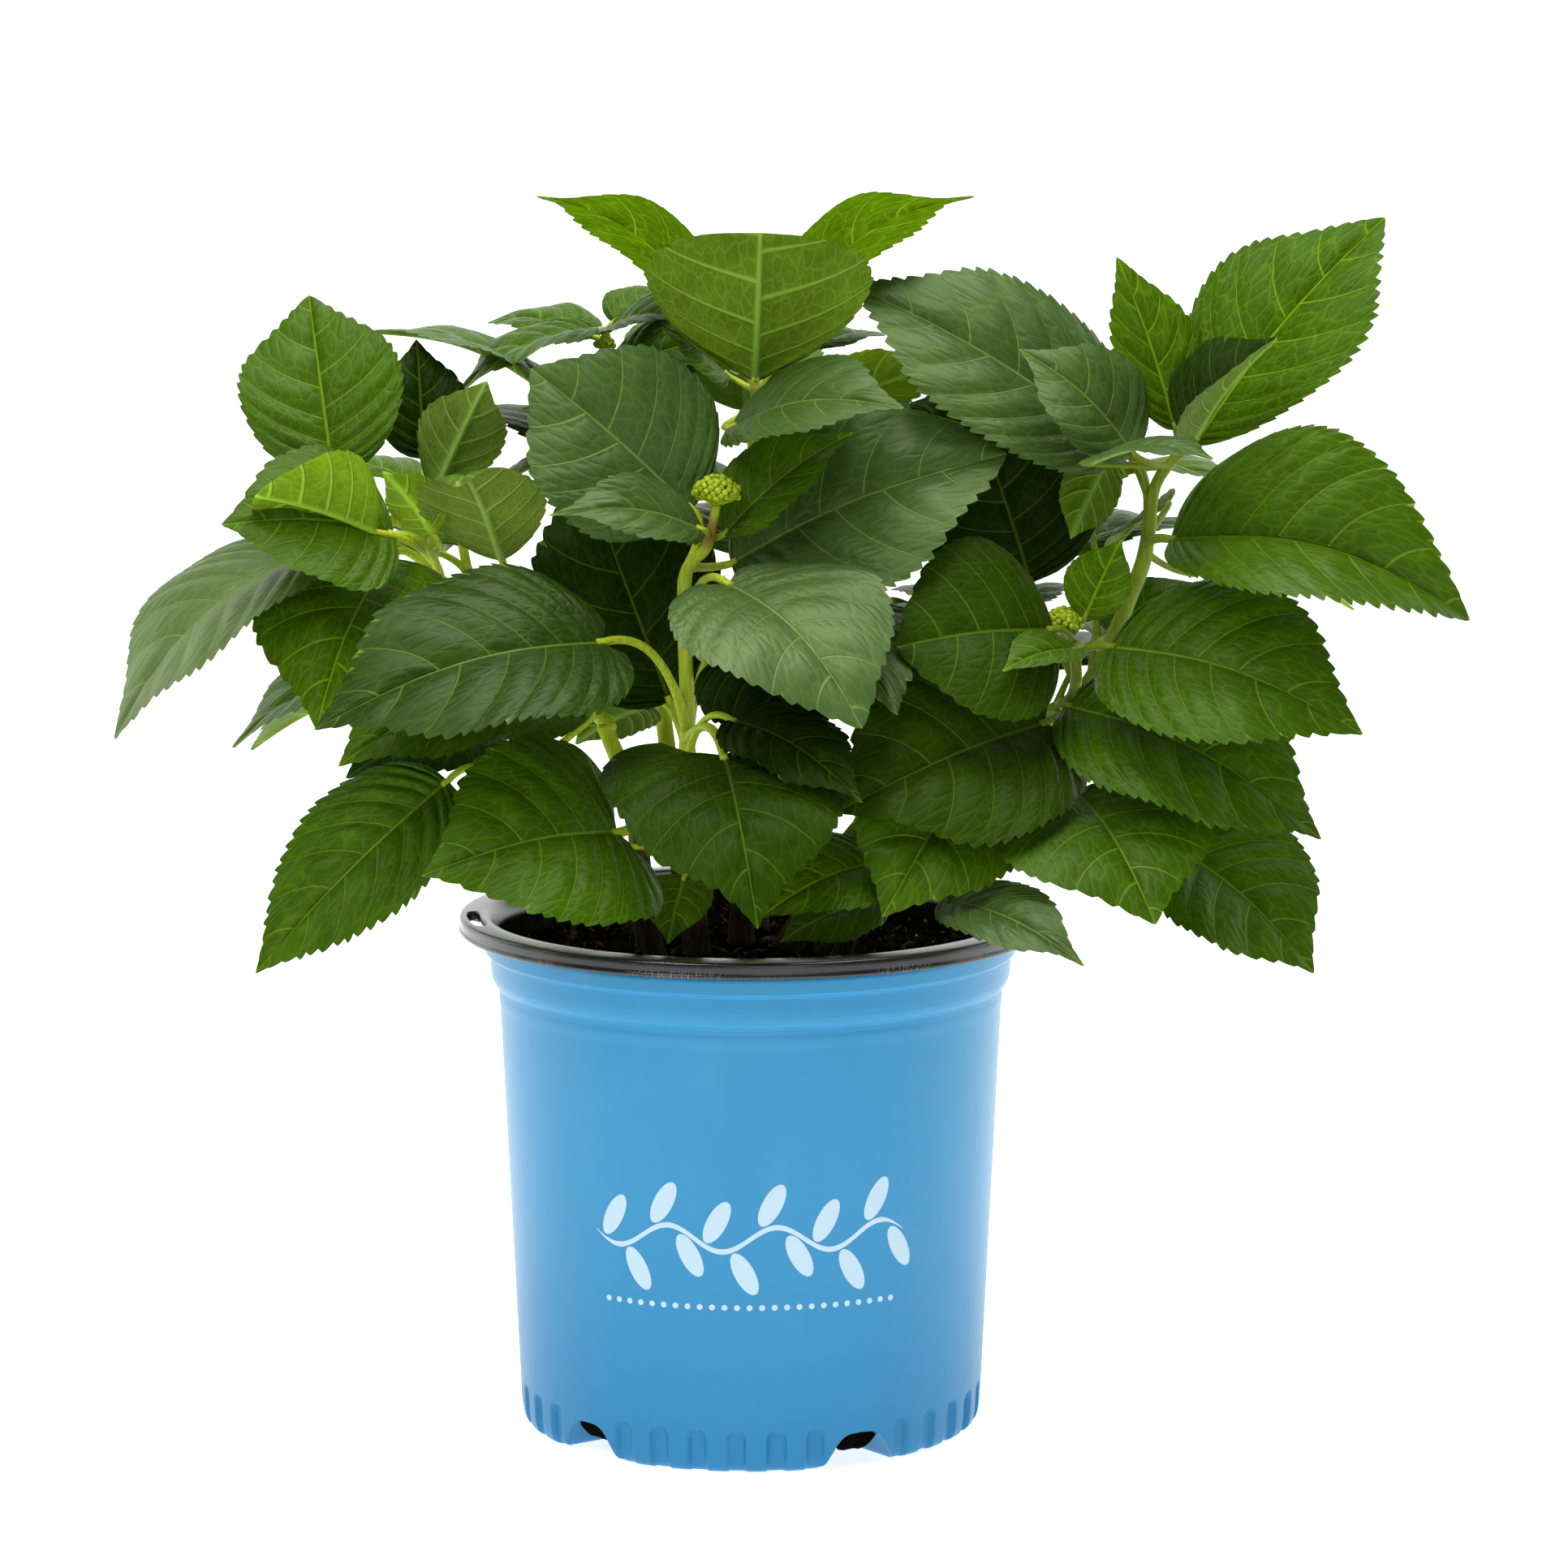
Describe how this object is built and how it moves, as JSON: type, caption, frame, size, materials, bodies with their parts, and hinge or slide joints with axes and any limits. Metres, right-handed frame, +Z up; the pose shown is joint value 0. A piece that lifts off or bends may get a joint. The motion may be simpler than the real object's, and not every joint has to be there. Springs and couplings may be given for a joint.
{
  "type": "potted hydrangea shrub",
  "caption": "Leafy hydrangea shrub with broad toothed leaves and closed flower buds, growing in a round tapered plastic nursery pot with a rolled rim.",
  "frame": {"origin": "middle of the pot's flat underside, on the surface that the pot stands on", "axes": "+Z up, -Y towards the side the plant is seen from, +X to the right of that view"},
  "size_m": [0.5439, 0.3858, 0.5045],
  "materials": {
    "pot_blue": "smooth moulded blue plastic with a soft sheen",
    "rim_black": "black moulded plastic, slightly glossy on the roll",
    "soil_dark": "damp dark potting mix of bark and peat",
    "stem_green": "young green canes, brown at the foot",
    "leaf_green": "satin green leaves with paler veins and undersides"
  },
  "bodies": {
    "root": {"cane_back_left": "stem_green", "cane_front": "stem_green", "cane_left": "stem_green", "cane_low_left": "stem_green", "cane_low_right": "stem_green", "cane_rear_left": "stem_green", "cane_rear_middle": "stem_green", "cane_rear_right": "stem_green", "cane_right": "stem_green", "cane_side": "stem_green", "cane_top": "stem_green", "pot": "pot_blue", "pot_rim": "rim_black", "shoot_back_left": "leaf_green", "shoot_front": "leaf_green", "shoot_left": "leaf_green", "shoot_low_left": "leaf_green", "shoot_low_right": "leaf_green", "shoot_rear_left": "leaf_green", "shoot_rear_middle": "leaf_green", "shoot_rear_right": "leaf_green", "shoot_right": "leaf_green", "shoot_side": "leaf_green", "shoot_top": "leaf_green", "soil": "soil_dark"}
  },
  "joints": []
}
